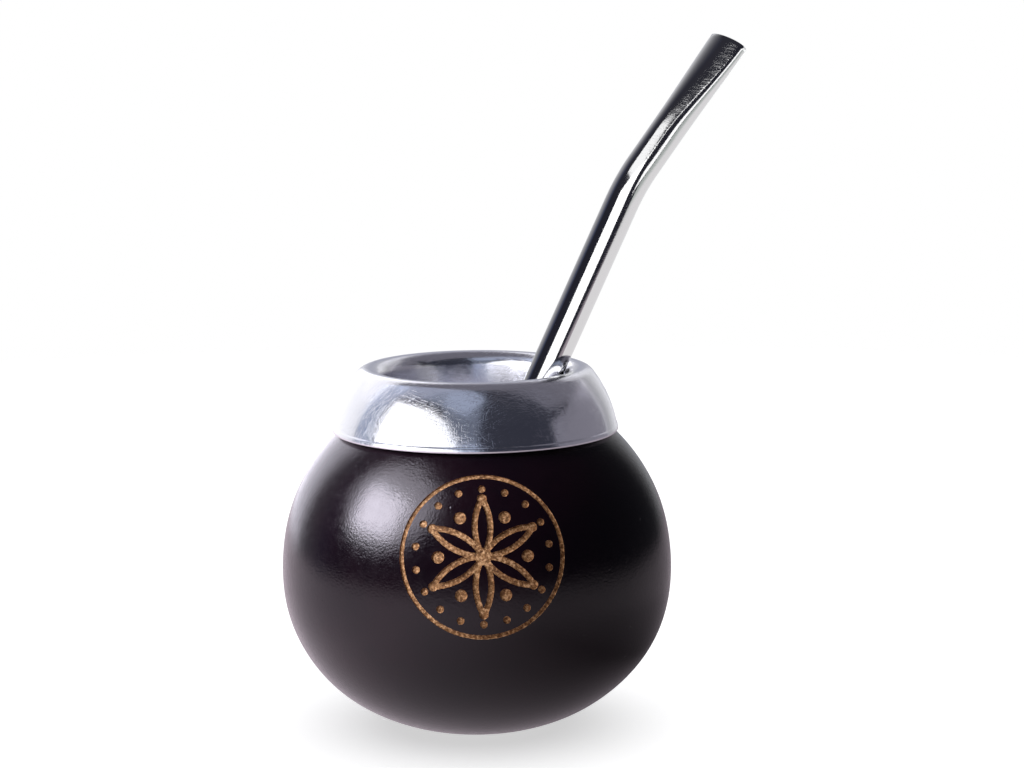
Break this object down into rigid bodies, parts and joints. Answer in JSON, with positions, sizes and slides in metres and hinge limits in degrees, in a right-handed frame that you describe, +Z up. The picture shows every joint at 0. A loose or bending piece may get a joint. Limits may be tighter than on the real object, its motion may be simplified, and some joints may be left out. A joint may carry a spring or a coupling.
{
  "type": "mate gourd cup with metal collar and straw",
  "caption": "Round dried-gourd drinking cup with a spun aluminium collar round its mouth and a bent metal straw resting in it.",
  "frame": {"origin": "centre of the flat spot under the gourd, on the table", "axes": "+Z up along the axis of the gourd and collar; -Y is the front, with the round ornament; the straw leans towards +X and a little to +Y"},
  "size_m": [0.0964, 0.08, 0.1404],
  "materials": {
    "gourd": "dark stained and varnished gourd, glossy, with a tan engraved ornament",
    "collar": "spun and polished, finely scratched",
    "straw": "bright polished steel tube"
  },
  "bodies": {
    "root": {"gourd": "gourd", "collar": "collar", "bombilla": "straw"}
  },
  "joints": []
}
